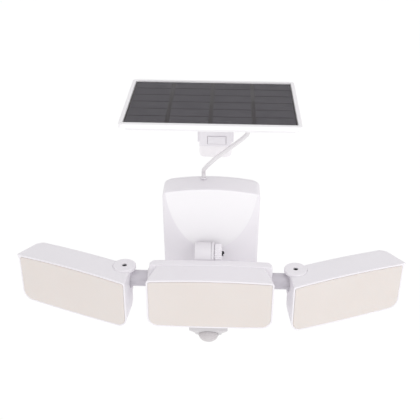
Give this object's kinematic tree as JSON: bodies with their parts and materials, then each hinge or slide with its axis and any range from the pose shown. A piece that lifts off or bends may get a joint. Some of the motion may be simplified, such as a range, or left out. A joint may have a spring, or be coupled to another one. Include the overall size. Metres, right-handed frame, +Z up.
{
  "type": "solar flood light",
  "caption": "Wall-mounted solar flood light: a base with hinged lamp heads on swivel arms, a tilting motion sensor, and a tilting solar panel on its own wall bracket, joined by a cable.",
  "frame": {"origin": "centre of the base's back face, on the wall", "axes": "+X to the viewer's right along the row of lamp heads, +Y into the wall, +Z up"},
  "size_m": [0.4776, 0.1354, 0.3423],
  "materials": {
    "white_plastic": "satin moulded white",
    "rubber": "matte black",
    "cable_sheath": "pale grey sheath",
    "battery_wrap": "heat-shrunk blue film",
    "circuit_board": "green solder mask",
    "led_board": "white solder mask",
    "steel": "zinc plated",
    "dark_steel": "black oxide",
    "diffuser": "frosted, warm white",
    "sensor_dome": "milky, ribbed",
    "solar_cell": "charcoal silicon",
    "panel_glass": "clear, slightly textured"
  },
  "bodies": {
    "root": {"base_housing": "white_plastic", "base_hinge_post": "white_plastic", "sensor_yoke": "white_plastic", "base_back_plate": "white_plastic", "base_gasket": "rubber", "cable_grommet": "cable_sheath", "battery_pack": "battery_wrap", "control_board": "circuit_board", "base_screw_1": "steel", "base_screw_2": "steel", "base_screw_3": "steel", "base_screw_4": "steel", "tilt_bolt": "dark_steel", "sensor_bolt": "steel", "bracket_wall_plate": "white_plastic", "bracket_socket": "white_plastic", "panel_hinge_bolt": "steel", "solar_cable": "cable_sheath"},
    "tilt_knob": {"tilt_knob": "white_plastic"},
    "mode_button": {"mode_button": "rubber"},
    "centre_head": {"centre_head_housing": "white_plastic", "centre_head_lug": "white_plastic", "centre_head_diffuser": "diffuser", "centre_head_gasket": "rubber", "centre_head_led_board": "led_board"},
    "left_arm": {"left_arm": "white_plastic", "left_arm_seal": "rubber"},
    "right_arm": {"right_arm": "white_plastic", "right_arm_seal": "rubber"},
    "left_head": {"left_head_housing": "white_plastic", "left_head_diffuser": "diffuser", "left_head_gasket": "rubber", "left_head_led_board": "led_board", "left_knuckle_screw": "dark_steel"},
    "right_head": {"right_head_housing": "white_plastic", "right_head_diffuser": "diffuser", "right_head_gasket": "rubber", "right_head_led_board": "led_board", "right_knuckle_screw": "dark_steel"},
    "sensor": {"sensor_housing": "white_plastic", "sensor_cover": "white_plastic", "sensor_dome": "sensor_dome", "sensor_board": "circuit_board"},
    "panel": {"panel_frame": "white_plastic", "panel_cells": "solar_cell", "panel_glass": "panel_glass", "panel_junction_box": "white_plastic", "panel_gland": "white_plastic", "panel_pivot_foot": "white_plastic", "pivot_screw_1": "steel", "pivot_screw_2": "steel", "pivot_screw_3": "steel", "pivot_screw_4": "steel"},
    "wing_nut": {"panel_wing_nut": "white_plastic"},
    "latch": {"bracket_latch": "white_plastic"}
  },
  "joints": [
    {"name": "head_tilt", "type": "hinge", "parent": "root", "child": "centre_head", "pos_m": [0, -0.05, 0.0085], "axis": [1, 0, 0], "range_deg": [-45, 30]},
    {"name": "left_arm_twist", "type": "hinge", "parent": "centre_head", "child": "left_arm", "pos_m": [-0.08, -0.067, -0.018], "axis": [1, 0, 0], "range_deg": [-90, 90]},
    {"name": "right_arm_twist", "type": "hinge", "parent": "centre_head", "child": "right_arm", "pos_m": [0.08, -0.067, -0.018], "axis": [1, 0, 0], "range_deg": [-90, 90]},
    {"name": "left_head_swing", "type": "hinge", "parent": "left_arm", "child": "left_head", "pos_m": [-0.1024, -0.067, -0.018], "axis": [0, 0, -1], "range_deg": [-22, 38]},
    {"name": "right_head_swing", "type": "hinge", "parent": "right_arm", "child": "right_head", "pos_m": [0.1024, -0.067, -0.018], "axis": [0, 0, 1], "range_deg": [-22, 38]},
    {"name": "sensor_tilt", "type": "hinge", "parent": "root", "child": "sensor", "pos_m": [0, -0.012, -0.103], "axis": [1, 0, 0], "range_deg": [-15, 45]},
    {"name": "panel_tilt", "type": "hinge", "parent": "root", "child": "panel", "pos_m": [0.004, -0.034, 0.188], "axis": [1, 0, 0], "range_deg": [-10, 75], "deforming": ["solar_cable"]},
    {"name": "tilt_knob_turn", "type": "hinge", "parent": "root", "child": "tilt_knob", "pos_m": [0.009, -0.05, 0.0085], "axis": [1, 0, 0], "continuous": true},
    {"name": "wing_nut_turn", "type": "hinge", "parent": "root", "child": "wing_nut", "pos_m": [0.022, -0.034, 0.188], "axis": [1, 0, 0], "continuous": true},
    {"name": "mode_button_press", "type": "slide", "parent": "root", "child": "mode_button", "axis": [0, 0, 1], "range_m": [0, 0.0012], "stiffness_N_per_m": 600},
    {"name": "latch_press", "type": "slide", "parent": "root", "child": "latch", "axis": [0, 1, 0], "range_m": [0, 0.002], "stiffness_N_per_m": 800}
  ]
}
